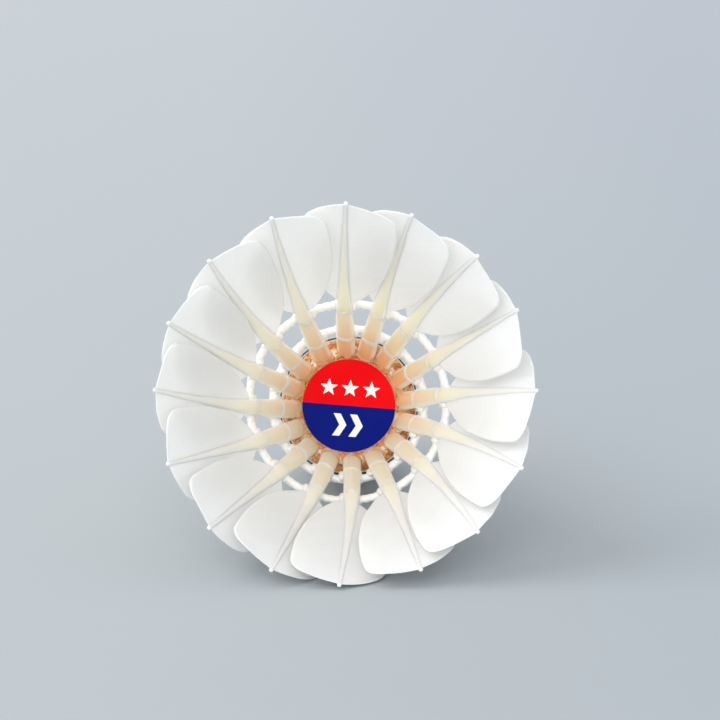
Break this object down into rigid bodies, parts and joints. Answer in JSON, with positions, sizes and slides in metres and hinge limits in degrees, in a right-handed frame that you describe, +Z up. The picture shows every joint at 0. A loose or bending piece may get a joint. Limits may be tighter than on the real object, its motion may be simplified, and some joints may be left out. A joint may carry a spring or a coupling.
{
  "type": "badminton shuttlecock",
  "caption": "Round cork base with a flared skirt of overlapping feathers bound by two glued thread rows, lying on its side.",
  "frame": {"origin": "below the middle of the shuttle's box, on the table it lies on", "axes": "+Z up from the table; the shuttle lies on its side with its cork towards +Y and its open skirt towards -Y; +X is to the right as seen from the open end. Its own axis rises 16 degrees towards the open end."},
  "size_m": [0.067, 0.092, 0.0652],
  "materials": {
    "composite_cork": "granular, matte",
    "natural_cork": "matte",
    "skin": "fine grain, satin",
    "ribbon": "woven ribbon, satin",
    "label": "printed, satin",
    "glue": "dried glue, satin",
    "thread": "glued cotton thread, satin",
    "quill": "horn, satin",
    "vane": "soft feather barbs, matte"
  },
  "bodies": {
    "root": {"cork_top": "composite_cork", "cork_nose": "natural_cork", "leather_skin": "skin", "rim_band": "ribbon", "label": "label", "root_glue": "glue", "thread_row_lower": "thread", "thread_row_upper": "thread", "feather_01_quill": "quill", "feather_01_vane": "vane", "feather_02_quill": "quill", "feather_02_vane": "vane", "feather_03_quill": "quill", "feather_03_vane": "vane", "feather_04_quill": "quill", "feather_04_vane": "vane", "feather_05_quill": "quill", "feather_05_vane": "vane", "feather_06_quill": "quill", "feather_06_vane": "vane", "feather_07_quill": "quill", "feather_07_vane": "vane", "feather_08_quill": "quill", "feather_08_vane": "vane", "feather_09_quill": "quill", "feather_09_vane": "vane", "feather_10_quill": "quill", "feather_10_vane": "vane", "feather_11_quill": "quill", "feather_11_vane": "vane", "feather_12_quill": "quill", "feather_12_vane": "vane", "feather_13_quill": "quill", "feather_13_vane": "vane", "feather_14_quill": "quill", "feather_14_vane": "vane", "feather_15_quill": "quill", "feather_15_vane": "vane", "feather_16_quill": "quill", "feather_16_vane": "vane"}
  },
  "joints": []
}
